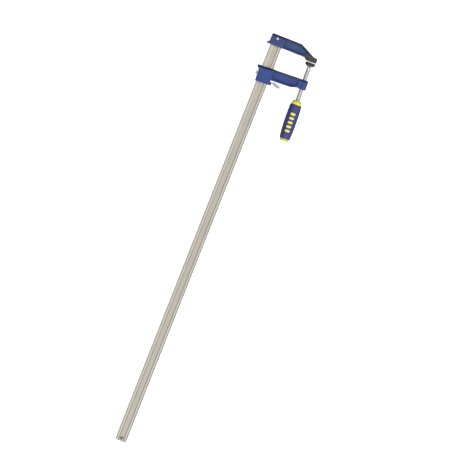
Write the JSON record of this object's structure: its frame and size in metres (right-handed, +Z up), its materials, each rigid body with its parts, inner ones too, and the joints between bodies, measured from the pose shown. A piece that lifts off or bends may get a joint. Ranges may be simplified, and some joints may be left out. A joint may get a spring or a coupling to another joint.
{
  "type": "f clamp",
  "caption": "Long bar clamp: a fixed jaw pinned on a grooved steel bar, a sliding arm with a disc clutch and release lever, and a handled screw with a swivel pad.",
  "frame": {"origin": "centre of the hang hole through the fixed jaw, half way through the bar's thickness", "axes": "the clamp lies on its side: +X from the bar towards the screw, +Y along the bar towards the fixed jaw, +Z up, across the bar's thickness"},
  "size_m": [0.1362, 1.032, 0.0296],
  "materials": {
    "bar_steel": "mill-rolled, lightly brushed",
    "pin_steel": "plain turned steel",
    "jaw_enamel": "semi-gloss dark blue enamel over a casting",
    "arm_enamel": "semi-gloss blue enamel over a casting",
    "disc_steel": "hardened, satin",
    "lever_steel": "zinc-plated, satin",
    "spring_steel": "drawn wire",
    "screw_steel": "rolled thread, bright",
    "yellow_plastic": "moulded, semi-gloss",
    "cap_plastic": "moulded, semi-gloss",
    "grip_plastic": "soft-touch moulding with a fine grain",
    "pad_plastic": "moulded, satin",
    "pad_rubber": "moulded rubber, low sheen"
  },
  "bodies": {
    "bar_body": {"bar": "bar_steel", "stop_pin": "pin_steel", "fixed_jaw": "jaw_enamel", "jaw_pin": "pin_steel", "fixed_pad": "pad_rubber"},
    "arm_body": {"sliding_arm": "arm_enamel", "clutch_springs": "spring_steel"},
    "clutch_body": {"clutch_disc_1": "disc_steel", "clutch_disc_2": "disc_steel", "clutch_disc_3": "disc_steel", "clutch_disc_4": "disc_steel", "release_lever": "lever_steel"},
    "tip_body": {"ball_tip": "pin_steel"},
    "screw_body": {"screw": "screw_steel", "handle_core": "yellow_plastic", "handle_collar": "yellow_plastic", "handle_grip": "grip_plastic", "handle_cap": "cap_plastic"},
    "retainer_body": {"pad_retainer": "pin_steel"},
    "pad_body": {"swivel_pad": "pad_plastic", "pad_cover": "pad_rubber"}
  },
  "joints": [
    {"name": "arm_slide", "type": "slide", "parent": "bar_body", "child": "arm_body", "axis": [0, -1, 0], "range_m": [0, 0.902]},
    {"name": "clutch_release", "type": "hinge", "parent": "arm_body", "child": "clutch_body", "pos_m": [0.01814, -0.09475, 0], "axis": [0, 0, 1], "range_deg": [0, 10], "stiffness_Nm_per_rad": 0.6, "springref_deg": -9.74, "deforming": ["clutch_springs"]},
    {"name": "screw_feed", "type": "slide", "parent": "arm_body", "child": "tip_body", "axis": [0.0419, -0.9991, 0], "range_m": [0, 0.03]},
    {"name": "screw_turn", "type": "hinge", "parent": "tip_body", "child": "screw_body", "pos_m": [0.09333, -0.0308, 0], "axis": [0.0419, -0.9991, 0], "range_deg": [0, 3600]},
    {"name": "pad_spin", "type": "hinge", "parent": "tip_body", "child": "retainer_body", "pos_m": [0.09333, -0.0308, 0], "axis": [0.0419, -0.9991, 0], "continuous": true},
    {"name": "pad_tilt", "type": "hinge", "parent": "retainer_body", "child": "pad_body", "pos_m": [0.09333, -0.0308, 0], "axis": [0, 0, 1], "range_deg": [-7, 7]}
  ],
  "couplings": [
    {"joint": "screw_feed", "follows": "screw_turn", "m_per_rad": 0.00047746}
  ]
}
